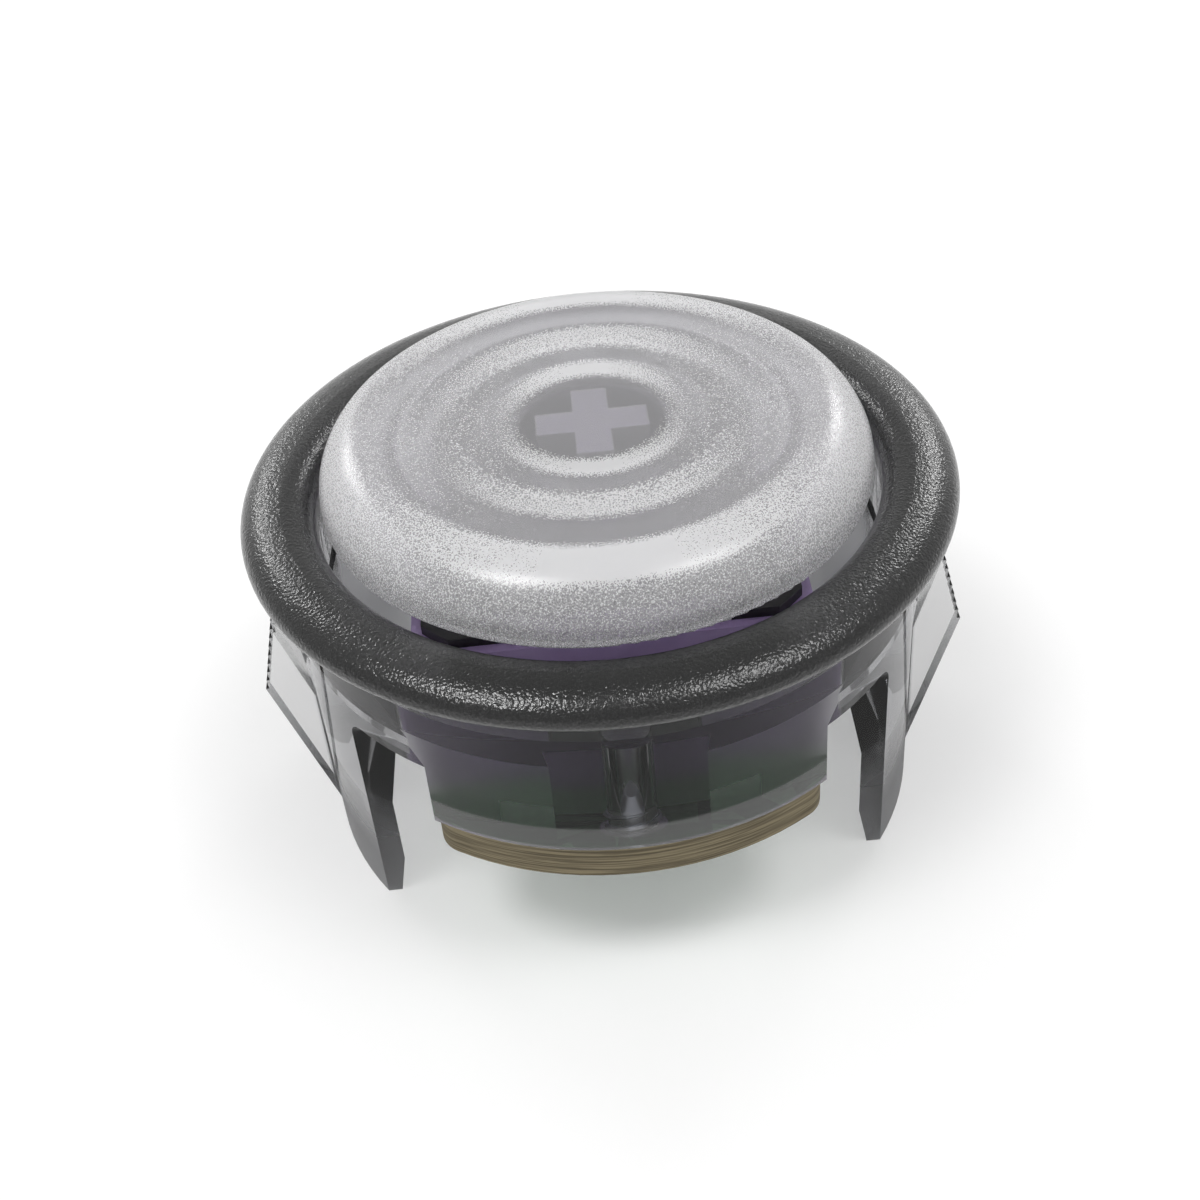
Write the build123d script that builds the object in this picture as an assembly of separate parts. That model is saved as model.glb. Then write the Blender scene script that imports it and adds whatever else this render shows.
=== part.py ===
from build123d import *
import os
from math import sqrt

# A 24 mm snap-in push button with a plug-in key switch inside.
# Millimetres, +Z up. Z = 0 is the panel's face, where the rim's underside sits,
# and the Z axis is the button's own axis. The front screw boss is at -Y.

# Panel fit and housing rim
PANEL_HOLE_D = 24.0
PANEL_FIT = 0.1
RIM_R = 13.28
RIM_CREST_R = 11.68
RIM_H = 1.28
RIM_INNER_LIP = 0.35
RIM_OUTER_LIP = 0.40

# Skirt ring, tabs and web of the housing
SKIRT_WALL = 1.4
SKIRT_H = 4.2
TAB_WIDTH = 14.06
TAB_H = 6.9
TAB_WALL = 1.95
WEB_DEPTH = 2.3
WEB_T = 1.5

# Screw bosses inside the front and back tabs
BOSS_WIDTH = 5.0
BOSS_WALL = 0.7
PILOT_R = 0.8
PILOT_SKIN = 0.45
SCREW_Y = 9.7

# Snap arms at the two sides
ARM_WIDTH = 13.6
ARM_H = 13.6
ARM_WALL = 0.72
ARM_TAPER_END = 8.65
ARM_TIP_START = 11.8
ARM_TIP_WALL = 0.44
ARM_ROOT_FILLET = 0.7

# Toothed wings, two on each arm
WING_T = 1.2
WING_SPACING = 3.9
WING_TOP = 1.5
WING_TOP_STAND = 0.46
WING_TOP_GAP = 0.2
WING_CORNER_DEPTH = 6.12
WING_CORNER_STAND = 1.59
WING_ROOT_DEPTH = 7.2
WING_FOOT_DEPTH = 12.7
TOOTH_PITCH = 0.4
TOOTH_DEPTH = 0.13

# Key switch shells
CUTOUT = 14.0
CUTOUT_CORNER_R = 0.3
SWITCH_FIT = 0.05
SWITCH_CORNER_R = 0.6
BASE_WALL = 1.0
BASE_FLOOR_T = 0.8
FLANGE_WIDTH = 14.3
FLANGE_T = 0.9
CLIP_WIDTH = 4.0
CLIP_STAND = 0.3
CLIP_H = 0.65
GUIDE_TUBE_R = 1.6
GUIDE_TUBE_H = 1.2
CENTRE_PIN_R = 1.95
CENTRE_PIN_L = 3.0
CENTRE_PIN_END_T = 0.4
COVER_WIDTH = 13.5
COVER_T = 0.4
COVER_INSET = 0.3
SPIGOT_WALL = 0.6
SPIGOT_H = 1.2
LUG_WIDTH = 3.0
LUG_STAND = 0.3
LUG_H = 0.4

# Stem and its travel
TRAVEL = 3.0
STOP_GAP = 0.1
SHOULDER_GAP = 0.1
CAP_HEADROOM = 0.2
STEM_WIDTH = 6.6
STEM_CORNER_R = 0.6
STEM_BORE_R = 2.4
PLATFORM_R = 2.8
PLATFORM_STAND = 0.5
PLATFORM_T = 0.85
OPENING_CLEARANCE = 0.2
POLE_R = 0.95
POLE_FIT = 0.05
POLE_ENGAGED = 1.0
CAM_WIDTH = 1.2
CAM_SPACING = 3.2
CAM_STAND = 0.55
CROSS_LENGTH = 4.05
CROSS_T = 1.27
CROSS_FIT = 0.03

# Return spring
SPRING_R = 2.1
WIRE_R = 0.13
SPRING_TURNS = 5

# Button cap
CAP_CLEARANCE = 0.3
CAP_WALL = 0.8
CAP_SIDE_H = 0.42
CAP_EDGE_R = 2.0
CAP_LIP_R = 0.15
CAP_TOP_T = 0.7
CAP_DISH = 0.16
CAP_BOSS_R = 2.7
CAP_BOSS_FILLET = 0.55
CAP_WALL_FILLET = 0.8
SOCKET_SKIN = 0.4
RIPPLE_DEPTH = 0.26
INNER_RIB_R = 4.25
GROOVE_R = 5.75
OUTER_RIB_R = 7.1
FLANGE_TO_CAP = 0.2

# Circuit board
BOARD_T = 1.6
BOARD_R = 11.65
BOARD_WIDTH = 13.9
BOARD_CORNER_R = 1.2
CENTRE_HOLE_FIT = 0.1
PIN_HOLE_R = 0.75
SCREW_HOLE_R = 1.1

# Switch contacts and their pins
LEAF_PIN = (-3.81, 2.54)
BLADE_PIN = (2.54, 5.08)
PIN_WIDTH = 0.7
PIN_L = 3.0
PIN_FIT = 0.06
LEAF_T = 0.15
LEAF_Y = 4.2
LEAF_END_X = 1.8
LEAF_H = 2.9
BLADE_T = 0.2
BLADE_WIDTH = 3.4
BLADE_H = 3.1
POINT_SIZE = 0.5
POINT_STAND = 0.15
POINT_X = 1.3
POINT_H = 2.4

# Plug-in socket under the board
SOCKET_H = 1.8
SOCKET_PAD = 1.65
SOCKET_FLOOR = 0.25
CUP_R = 1.15
CUP_BORE_R = 0.5
CUP_FIT = 0.05
TAIL_WIDTH = 1.6
TAIL_T = 0.2
TAIL_L = 2.8

# Wire terminals
BLADE_TERMINAL_WIDTH = 2.8
BLADE_TERMINAL_T = 0.5
TERMINAL_SHOULDER = 3.6
TERMINAL_SHOULDER_H = 0.5
TERMINAL_STANDOFF = 0.5
TERMINAL_X = 4.0
TERMINAL_Y = -2.6
TERMINAL_TIP_GAP = 0.4
TERMINAL_TIP_CHAMFER = 0.5
TERMINAL_HOLE_R = 0.6
LEG_WIDTH = 0.8
LEG_SPACING = 2.2
LEG_END_GAP = 0.1
LEG_FIT = 0.05
SOLDER_R = 0.75
SOLDER_TOP_R = 0.52
SOLDER_GAP = 0.05

# Board screws
THREAD_FIT = 0.02
SCREW_L = 3.0
SCREW_POINT = 0.5
HEAD_R = 1.4
HEAD_H = 0.45
HEAD_EDGE_R = 0.2
RECESS_LENGTH = 1.6
RECESS_T = 0.45
RECESS_DEPTH = 0.3

# Radii and heights that follow from the sizes above
SKIRT_R = PANEL_HOLE_D / 2 - PANEL_FIT
BORE_R = SKIRT_R - SKIRT_WALL
TAB_BORE_R = SKIRT_R - TAB_WALL
CAP_R = BORE_R - CAP_CLEARANCE
CAP_BORE_R = CAP_R - CAP_WALL
FLANGE_CORNER_R = CAP_BORE_R - FLANGE_TO_CAP
WEB_TOP = -WEB_DEPTH
WEB_BOTTOM = WEB_TOP - WEB_T
BOARD_TOP = -TAB_H
BOARD_BOTTOM = BOARD_TOP - BOARD_T
BASE_FLOOR = BOARD_TOP + BASE_FLOOR_T
BASE_WIDTH = CUTOUT - 2 * SWITCH_FIT
CAVITY_WIDTH = BASE_WIDTH - 2 * BASE_WALL
SPIGOT_WIDTH = CAVITY_WIDTH - 2 * SWITCH_FIT
FLANGE_TOP = WEB_TOP + FLANGE_T
COVER_TOP = FLANGE_TOP + COVER_T
OPENING_R = PLATFORM_R + OPENING_CLEARANCE
TUBE_TOP = BASE_FLOOR + GUIDE_TUBE_H
STEM_SHOULDER = FLANGE_TOP - SHOULDER_GAP
STEM_BOTTOM = BASE_FLOOR + STOP_GAP + TRAVEL
PLATFORM_TOP = COVER_TOP + PLATFORM_STAND
SPRING_SEAT = PLATFORM_TOP - PLATFORM_T
RIB_Z = COVER_TOP + TRAVEL + CAP_HEADROOM
CEILING_Z = RIB_Z + RIPPLE_DEPTH
CAP_CENTRE_Z = CEILING_Z + CAP_TOP_T
CAP_CREST_Z = CAP_CENTRE_Z + CAP_DISH
CAP_SIDE_Z = CAP_CREST_Z - CAP_EDGE_R
CAP_BOTTOM = CAP_SIDE_Z - CAP_SIDE_H
SOCKET_TOP = CAP_CENTRE_Z - SOCKET_SKIN


def block(x0, x1, y0, y1, z0, z1):
    """Box between two corners."""
    return Pos((x0 + x1) / 2, (y0 + y1) / 2, (z0 + z1) / 2) * Box(x1 - x0, y1 - y0, z1 - z0)


def disc(radius, z0, z1, x=0, y=0):
    """Upright cylinder between two heights."""
    return Pos(x, y, (z0 + z1) / 2) * Cylinder(radius, z1 - z0)


def pad(width, depth, corner, z0, z1):
    """Rounded rectangle on the axis, between two heights."""
    return Pos(0, 0, z0) * extrude(RectangleRounded(width, depth, corner), z1 - z0)


def turned(edges):
    """Solid of revolution about Z from a closed outline drawn as (radius, height)."""
    return revolve(Plane.XZ * make_face(Curve() + edges), Axis.Z)


def turned_polygon(points):
    """Solid of revolution about Z from straight runs."""
    return turned([Polyline(*points, close=True)])


def cross(length, thickness, z0, z1):
    """Two crossed bars on the axis."""
    bars = block(-length / 2, length / 2, -thickness / 2, thickness / 2, z0, z1)
    return bars + Rot(0, 0, 90) * bars


def rim_and_skirt():
    """Bead-shaped rim with the skirt ring that drops into the panel hole."""
    inner_rise = RIM_H - RIM_INNER_LIP
    outer_rise = RIM_H - RIM_OUTER_LIP
    inner = EllipticalCenterArc((RIM_CREST_R, RIM_INNER_LIP), RIM_CREST_R - BORE_R, inner_rise, 90, arc_size=90)
    outer = EllipticalCenterArc((RIM_CREST_R, RIM_OUTER_LIP), RIM_R - RIM_CREST_R, outer_rise, 0, arc_size=90)
    edge = CenterArc((RIM_R - RIM_OUTER_LIP, RIM_OUTER_LIP), RIM_OUTER_LIP, -90, 90)
    walls = Polyline(
        (RIM_R - RIM_OUTER_LIP, 0),
        (SKIRT_R, 0),
        (SKIRT_R, -SKIRT_H),
        (BORE_R, -SKIRT_H),
        (BORE_R, RIM_INNER_LIP),
    )
    return turned([inner, outer, edge, walls])


def switch_web():
    """Flat web across the skirt, with the square opening that the switch clips into."""
    web = disc(BORE_R + SKIRT_WALL / 2, WEB_BOTTOM, WEB_TOP)
    return web - pad(CUTOUT, CUTOUT, CUTOUT_CORNER_R, WEB_BOTTOM, WEB_TOP)


def board_tabs():
    """Front and back tabs whose lower edges seat the circuit board."""
    ring = disc(SKIRT_R, BOARD_TOP, WEB_BOTTOM) - disc(TAB_BORE_R, BOARD_TOP, WEB_BOTTOM)
    return ring & block(-TAB_WIDTH / 2, TAB_WIDTH / 2, -SKIRT_R, SKIRT_R, BOARD_TOP, WEB_BOTTOM)


def screw_bosses():
    """Blocks inside the two tabs that take the board screws."""
    inner = SCREW_Y - PILOT_R - BOSS_WALL
    bosses = Part()
    for side in (-1, 1):
        y0, y1 = sorted((side * inner, side * SKIRT_R))
        bosses += block(-BOSS_WIDTH / 2, BOSS_WIDTH / 2, y0, y1, BOARD_TOP, WEB_TOP)
    return bosses & disc(SKIRT_R - SKIRT_WALL / 2, BOARD_TOP, WEB_TOP)


def pilot_holes():
    """Blind holes for the board screws."""
    holes = Part()
    for side in (-1, 1):
        holes += disc(PILOT_R, BOARD_TOP, WEB_TOP - PILOT_SKIN, y=side * SCREW_Y)
    return holes


def arm_front():
    """Outline of an arm seen along X: straight flanks that flare into the skirt."""
    half = ARM_WIDTH / 2
    root = half + 2 * ARM_ROOT_FILLET
    outline = make_face(Polyline(
        (-root, WEB_BOTTOM),
        (-root, -SKIRT_H),
        (-half, -SKIRT_H),
        (-half, -ARM_H),
        (half, -ARM_H),
        (half, -SKIRT_H),
        (root, -SKIRT_H),
        (root, WEB_BOTTOM),
        close=True,
    ))
    corners = outline.vertices().filter_by(
        lambda corner: abs(abs(corner.X) - half) < 1e-6 and abs(corner.Y + SKIRT_H) < 1e-6
    )
    return fillet(corners, ARM_ROOT_FILLET)


def snap_arms():
    """Two arms cut from one turned profile, thick at the root and thin at the tip."""
    ring = turned_polygon([
        (BORE_R, WEB_BOTTOM),
        (BORE_R, -SKIRT_H),
        (SKIRT_R - ARM_WALL, -ARM_TAPER_END),
        (SKIRT_R - ARM_WALL, -ARM_TIP_START),
        (SKIRT_R - ARM_TIP_WALL, -ARM_H),
        (SKIRT_R, -ARM_H),
        (SKIRT_R, WEB_BOTTOM),
    ])
    return ring & extrude(Plane.YZ * arm_front(), SKIRT_R, both=True)


def wing_outline():
    """Side outline of one wing at +X: a toothed edge that leans out, then a ramp back to the arm."""
    top = (SKIRT_R + WING_TOP_STAND, -WING_TOP)
    corner = (SKIRT_R + WING_CORNER_STAND, -WING_CORNER_DEPTH)
    count = int((WING_CORNER_DEPTH - WING_TOP) / TOOTH_PITCH)
    run = ((corner[0] - top[0]) / count, (corner[1] - top[1]) / count)
    teeth = [top]
    for tooth in range(1, count + 1):
        tip = (top[0] + run[0] * tooth, top[1] + run[1] * tooth)
        teeth.append((tip[0] - TOOTH_DEPTH, tip[1]))
        teeth.append(tip)
    inside = SKIRT_R - ARM_WALL / 2
    foot = [
        (inside, -WING_FOOT_DEPTH),
        (inside, -WING_ROOT_DEPTH),
        (SKIRT_R + WING_TOP_GAP, -WING_TOP),
    ]
    return make_face(Polyline(*teeth, *foot, close=True))


def wings():
    """Two thin wings on each arm."""
    outline = wing_outline()
    all_wings = Part()
    for y in (-WING_SPACING / 2, WING_SPACING / 2):
        plate = extrude(Plane.XZ.offset(-y) * outline, WING_T / 2, both=True)
        all_wings += plate
        all_wings += Rot(0, 0, 180) * plate
    return all_wings


def housing():
    """The whole clear moulding."""
    body = rim_and_skirt() + switch_web() + board_tabs() + screw_bosses()
    return body + snap_arms() + wings() - pilot_holes()


def button_cap():
    """Clear cap: dished top tangent to a rounded edge, ring ribs under the top, boss with cross socket."""
    edge_r = CAP_R - CAP_EDGE_R
    dish_z = (edge_r ** 2 + CAP_SIDE_Z ** 2 - (CAP_CENTRE_Z - CAP_EDGE_R) ** 2) / (2 * CAP_DISH)
    dish_r = dish_z - CAP_CENTRE_Z
    lean = edge_r / (dish_r + CAP_EDGE_R)
    seam = (edge_r - CAP_EDGE_R * lean, CAP_SIDE_Z + CAP_EDGE_R * sqrt(1 - lean ** 2))
    dish_mid = (seam[0] / 2, dish_z - sqrt(dish_r ** 2 - (seam[0] / 2) ** 2))
    round_mid = (edge_r + CAP_EDGE_R * sqrt(0.5), CAP_SIDE_Z + CAP_EDGE_R * sqrt(0.5))
    boss_arc_r = CAP_BOSS_R + CAP_BOSS_FILLET
    wall_arc_r = CAP_BORE_R - CAP_WALL_FILLET
    outline = [
        Polyline(
            (0, CAP_CENTRE_Z),
            (0, PLATFORM_TOP),
            (CAP_BOSS_R, PLATFORM_TOP),
            (CAP_BOSS_R, CEILING_Z - CAP_BOSS_FILLET),
        ),
        CenterArc((boss_arc_r, CEILING_Z - CAP_BOSS_FILLET), CAP_BOSS_FILLET, 90, 90),
        Spline(
            (boss_arc_r, CEILING_Z),
            (INNER_RIB_R, RIB_Z),
            (GROOVE_R, CEILING_Z),
            (OUTER_RIB_R, RIB_Z),
            (wall_arc_r, CEILING_Z),
            tangents=((1, 0), (1, 0)),
        ),
        CenterArc((wall_arc_r, CEILING_Z - CAP_WALL_FILLET), CAP_WALL_FILLET, 0, 90),
        Polyline(
            (CAP_BORE_R, CEILING_Z - CAP_WALL_FILLET),
            (CAP_BORE_R, CAP_BOTTOM),
            (CAP_R - CAP_LIP_R, CAP_BOTTOM),
        ),
        CenterArc((CAP_R - CAP_LIP_R, CAP_BOTTOM + CAP_LIP_R), CAP_LIP_R, -90, 90),
        Line((CAP_R, CAP_BOTTOM + CAP_LIP_R), (CAP_R, CAP_SIDE_Z)),
        ThreePointArc((CAP_R, CAP_SIDE_Z), round_mid, seam),
        ThreePointArc(seam, dish_mid, (0, CAP_CENTRE_Z)),
    ]
    socket = cross(CROSS_LENGTH + 2 * CROSS_FIT, CROSS_T + 2 * CROSS_FIT, PLATFORM_TOP, SOCKET_TOP)
    return turned(outline) - socket


def switch_stem():
    """Sliding stem: cross post, platform, hollow body over the spring, guide pole and two cams."""
    post = cross(CROSS_LENGTH, CROSS_T, PLATFORM_TOP, SOCKET_TOP - CROSS_FIT)
    platform = disc(PLATFORM_R, STEM_BOTTOM, PLATFORM_TOP)
    body = pad(STEM_WIDTH, STEM_WIDTH, STEM_CORNER_R, STEM_BOTTOM, STEM_SHOULDER)
    cams = Part()
    for x in (-CAM_SPACING / 2, CAM_SPACING / 2):
        side = Polyline(
            (0, STEM_SHOULDER),
            (STEM_WIDTH / 2 + CAM_STAND, STEM_SHOULDER),
            (STEM_WIDTH / 2 + CAM_STAND, (STEM_SHOULDER + STEM_BOTTOM) / 2),
            (STEM_WIDTH / 2, STEM_BOTTOM),
            (0, STEM_BOTTOM),
            close=True,
        )
        cams += extrude(Plane.YZ.offset(x) * make_face(side), CAM_WIDTH / 2, both=True)
    bore = disc(STEM_BORE_R, STEM_BOTTOM, SPRING_SEAT)
    pole = disc(POLE_R, TUBE_TOP - POLE_ENGAGED, PLATFORM_TOP)
    return platform + body + cams - bore + pole + post


def return_spring():
    """Open coil spring from the base's floor to the stem's spring seat."""
    coil = Helix(
        pitch=(SPRING_SEAT - BASE_FLOOR - 2 * WIRE_R) / SPRING_TURNS,
        height=SPRING_SEAT - BASE_FLOOR - 2 * WIRE_R,
        radius=SPRING_R,
        center=(0, 0, BASE_FLOOR + WIRE_R),
    )
    wire = Plane(origin=coil @ 0, z_dir=coil % 0) * Circle(WIRE_R)
    return sweep(wire, path=coil, is_frenet=True)


def cover_lugs(fit):
    """Catches on the cover's spigot, grown by a fit on every side for the pockets they enter."""
    z0 = FLANGE_TOP - SPIGOT_H
    reach = SPIGOT_WIDTH / 2 + LUG_STAND + fit
    bar = block(-reach, reach, -LUG_WIDTH / 2 - fit, LUG_WIDTH / 2 + fit, z0 - fit, z0 + LUG_H + fit)
    return bar


def switch_cover():
    """Black upper shell: a plate on the flange with the stem's opening, and a spigot in the base."""
    inner = SPIGOT_WIDTH - 2 * SPIGOT_WALL
    spigot_bottom = FLANGE_TOP - SPIGOT_H
    plate = pad(COVER_WIDTH, COVER_WIDTH, SWITCH_CORNER_R, FLANGE_TOP, COVER_TOP)
    plate &= disc(FLANGE_CORNER_R - COVER_INSET, FLANGE_TOP, COVER_TOP)
    spigot = pad(SPIGOT_WIDTH, SPIGOT_WIDTH, SWITCH_CORNER_R, spigot_bottom, FLANGE_TOP)
    spigot += cover_lugs(0)
    spigot -= pad(inner, inner, SWITCH_CORNER_R, spigot_bottom, FLANGE_TOP)
    return plate + spigot - disc(OPENING_R, FLANGE_TOP, COVER_TOP)


def pin_slots():
    """Slots in the base's floor for the two contact pins."""
    slots = Part()
    for (x, y), thickness in ((LEAF_PIN, LEAF_T), (BLADE_PIN, BLADE_T)):
        half_x = PIN_WIDTH / 2 + PIN_FIT
        half_y = thickness / 2 + PIN_FIT
        slots += block(x - half_x, x + half_x, y - half_y, y + half_y, BOARD_TOP, BASE_FLOOR)
    return slots


def web_clips():
    """Wedges on the base's front and back faces that catch under the housing's web."""
    top = WEB_BOTTOM - SWITCH_FIT
    face = BASE_WIDTH / 2
    wedge = Polyline((0, top), (face + CLIP_STAND, top), (face, top - CLIP_H), (0, top - CLIP_H), close=True)
    clip = extrude(Plane.YZ * make_face(wedge), CLIP_WIDTH / 2, both=True)
    return clip + Rot(0, 0, 180) * clip


def switch_base():
    """Purple lower shell: flanged box on the web and the board, with the stem's guide and centre pin."""
    body = pad(BASE_WIDTH, BASE_WIDTH, SWITCH_CORNER_R, BOARD_TOP, FLANGE_TOP)
    flange = pad(FLANGE_WIDTH, FLANGE_WIDTH, SWITCH_CORNER_R, WEB_TOP, FLANGE_TOP)
    shell = body + flange + web_clips()
    shell -= disc(2 * BASE_WIDTH, WEB_TOP, FLANGE_TOP) - disc(FLANGE_CORNER_R, WEB_TOP, FLANGE_TOP)
    shell -= pad(CAVITY_WIDTH, CAVITY_WIDTH, SWITCH_CORNER_R, BASE_FLOOR, FLANGE_TOP)
    shell -= cover_lugs(SWITCH_FIT)
    shell += disc(GUIDE_TUBE_R, BASE_FLOOR, TUBE_TOP)
    shell += disc(CENTRE_PIN_R, BOARD_TOP - CENTRE_PIN_L, BOARD_TOP)
    guide = disc(POLE_R + POLE_FIT, BOARD_TOP - CENTRE_PIN_L + CENTRE_PIN_END_T, TUBE_TOP)
    return shell - guide - pin_slots()


def contact_leaf():
    """Moving contact: upright spring leaf, foot along the floor and pin."""
    x, y = LEAF_PIN
    x0, x1 = x - PIN_WIDTH / 2, x + PIN_WIDTH / 2
    y0 = y - LEAF_T / 2
    leaf = block(x0, LEAF_END_X, LEAF_Y, LEAF_Y + LEAF_T, BASE_FLOOR, BASE_FLOOR + LEAF_H)
    foot = block(x0, x1, y0, LEAF_Y + LEAF_T, BASE_FLOOR, BASE_FLOOR + LEAF_T)
    pin = block(x0, x1, y0, y0 + LEAF_T, BOARD_TOP - PIN_L, BASE_FLOOR + LEAF_T)
    return leaf + foot + pin


def contact_blade():
    """Fixed contact: upright blade and pin."""
    x, y = BLADE_PIN
    y0, y1 = y - BLADE_T / 2, y + BLADE_T / 2
    blade = block(x - BLADE_WIDTH / 2, x + BLADE_WIDTH / 2, y0, y1, BASE_FLOOR, BASE_FLOOR + BLADE_H)
    pin = block(x - PIN_WIDTH / 2, x + PIN_WIDTH / 2, y0, y1, BOARD_TOP - PIN_L, BASE_FLOOR)
    return blade + pin


def contact_point(y0, y1):
    """Small square contact point between two planes."""
    half = POINT_SIZE / 2
    z = BASE_FLOOR + POINT_H
    return block(POINT_X - half, POINT_X + half, y0, y1, z - half, z + half)


def leaf_contact_point():
    """Contact point welded to the leaf."""
    face = LEAF_Y + LEAF_T
    return contact_point(face, face + POINT_STAND)


def blade_contact_point():
    """Contact point welded to the blade."""
    face = BLADE_PIN[1] - BLADE_T / 2
    return contact_point(face - POINT_STAND, face)


def terminal_legs(side, fit, z0, z1):
    """The two legs of one terminal, grown by a fit for the board's slots."""
    legs = Part()
    half_x = LEG_WIDTH / 2 + fit
    half_y = BLADE_TERMINAL_T / 2 + fit
    for offset in (-LEG_SPACING / 2, LEG_SPACING / 2):
        x = side * TERMINAL_X + offset
        legs += block(x - half_x, x + half_x, TERMINAL_Y - half_y, TERMINAL_Y + half_y, z0, z1)
    return legs


def circuit_board():
    """Board with round ends, straight sides and all its holes."""
    board = disc(BOARD_R, BOARD_BOTTOM, BOARD_TOP)
    board &= block(-BOARD_WIDTH / 2, BOARD_WIDTH / 2, -BOARD_R, BOARD_R, BOARD_BOTTOM, BOARD_TOP)
    board = fillet(board.edges().filter_by(Axis.Z), BOARD_CORNER_R)
    board -= disc(CENTRE_PIN_R + CENTRE_HOLE_FIT, BOARD_BOTTOM, BOARD_TOP)
    for x, y in (LEAF_PIN, BLADE_PIN):
        board -= disc(PIN_HOLE_R, BOARD_BOTTOM, BOARD_TOP, x, y)
    for side in (-1, 1):
        board -= disc(SCREW_HOLE_R, BOARD_BOTTOM, BOARD_TOP, y=side * SCREW_Y)
        board -= terminal_legs(side, LEG_FIT, BOARD_BOTTOM, BOARD_TOP)
    return board


def socket_tail(pin, side, fit):
    """Flat solder tail from a socket cup out under the board."""
    x, y = pin
    x0, x1 = sorted((x, x + side * TAIL_L))
    half = TAIL_WIDTH / 2 + fit
    return block(x0, x1, y - half, y + half, BOARD_BOTTOM - TAIL_T - fit, BOARD_BOTTOM)


def socket_contact(pin, side):
    """Spring cup that grips one switch pin, with its solder tail."""
    x, y = pin
    bottom = BOARD_BOTTOM - SOCKET_H + SOCKET_FLOOR
    cup = disc(CUP_R, bottom, BOARD_BOTTOM, x, y) + socket_tail(pin, side, 0)
    return cup - disc(CUP_BORE_R, bottom, BOARD_BOTTOM, x, y)


def socket_body():
    """Moulded body of the plug-in socket, with a pocket for each cup."""
    z0 = BOARD_BOTTOM - SOCKET_H
    (ax, ay), (bx, by) = LEAF_PIN, BLADE_PIN
    body = block(ax, bx, ay, by, z0, BOARD_BOTTOM)
    for x, y in (LEAF_PIN, BLADE_PIN):
        body += block(x - SOCKET_PAD, x + SOCKET_PAD, y - SOCKET_PAD, y + SOCKET_PAD, z0, BOARD_BOTTOM)
    for pin, side in ((LEAF_PIN, -1), (BLADE_PIN, 1)):
        body -= disc(CUP_R + CUP_FIT, z0 + SOCKET_FLOOR, BOARD_BOTTOM, *pin)
        body -= socket_tail(pin, side, CUP_FIT)
    return body


def terminal(side):
    """Blade terminal for a push-on connector, standing down from the board."""
    x = side * TERMINAL_X
    half = BLADE_TERMINAL_WIDTH / 2
    tip = -ARM_H + TERMINAL_TIP_GAP
    shoulder = BOARD_BOTTOM - TERMINAL_STANDOFF
    neck = shoulder - TERMINAL_SHOULDER_H
    outline = Polyline(
        (x - TERMINAL_SHOULDER / 2, shoulder),
        (x - TERMINAL_SHOULDER / 2, neck),
        (x - half, neck),
        (x - half, tip + TERMINAL_TIP_CHAMFER),
        (x - half + TERMINAL_TIP_CHAMFER, tip),
        (x + half - TERMINAL_TIP_CHAMFER, tip),
        (x + half, tip + TERMINAL_TIP_CHAMFER),
        (x + half, neck),
        (x + TERMINAL_SHOULDER / 2, neck),
        (x + TERMINAL_SHOULDER / 2, shoulder),
        close=True,
    )
    hole = Pos(x, (tip + neck) / 2) * Circle(TERMINAL_HOLE_R)
    blade = extrude(Plane.XZ.offset(-TERMINAL_Y) * (make_face(outline) - hole), BLADE_TERMINAL_T / 2, both=True)
    return blade + terminal_legs(side, 0, shoulder, BOARD_TOP - LEG_END_GAP)


def solder_joints():
    """Four solder fillets round the terminals' legs, under the board."""
    height = TERMINAL_STANDOFF - SOLDER_GAP
    joints = []
    for side in (-1, 1):
        for offset in (-LEG_SPACING / 2, LEG_SPACING / 2):
            x = side * TERMINAL_X + offset
            fillet_cone = Pos(x, TERMINAL_Y, BOARD_BOTTOM - height / 2) * Cone(SOLDER_TOP_R, SOLDER_R, height)
            joints.append(fillet_cone - terminal_legs(side, 0, BOARD_BOTTOM - height, BOARD_BOTTOM))
    return Compound(children=joints)


def board_screws():
    """Two self-tapping screws, heads under the board and points in the bosses."""
    shank = PILOT_R - THREAD_FIT
    point_z = BOARD_BOTTOM + SCREW_L
    head_z = BOARD_BOTTOM - HEAD_H
    head_mid = HEAD_R - HEAD_EDGE_R + HEAD_EDGE_R * sqrt(0.5), head_z + HEAD_EDGE_R * (1 - sqrt(0.5))
    outline = [
        Polyline(
            (HEAD_R, head_z + HEAD_EDGE_R),
            (HEAD_R, BOARD_BOTTOM),
            (shank, BOARD_BOTTOM),
            (shank, point_z - SCREW_POINT),
            (shank / 2, point_z),
            (0, point_z),
            (0, head_z),
            (HEAD_R - HEAD_EDGE_R, head_z),
        ),
        ThreePointArc((HEAD_R - HEAD_EDGE_R, head_z), head_mid, (HEAD_R, head_z + HEAD_EDGE_R)),
    ]
    screw = turned(outline) - cross(RECESS_LENGTH, RECESS_T, head_z, head_z + RECESS_DEPTH)
    return Compound(children=[Pos(0, side * SCREW_Y, 0) * screw for side in (-1, 1)])


NODES = {
    "housing": housing(),
    "button_cap": button_cap(),
    "switch_stem": switch_stem(),
    "switch_cover": switch_cover(),
    "switch_base": switch_base(),
    "return_spring": return_spring(),
    "contact_leaf": contact_leaf(),
    "contact_blade": contact_blade(),
    "leaf_contact_point": leaf_contact_point(),
    "blade_contact_point": blade_contact_point(),
    "circuit_board": circuit_board(),
    "socket_body": socket_body(),
    "socket_contact_left": socket_contact(LEAF_PIN, -1),
    "socket_contact_right": socket_contact(BLADE_PIN, 1),
    "terminal_left": terminal(-1),
    "terminal_right": terminal(1),
    "solder_joints": solder_joints(),
    "board_screws": board_screws(),
}

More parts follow.
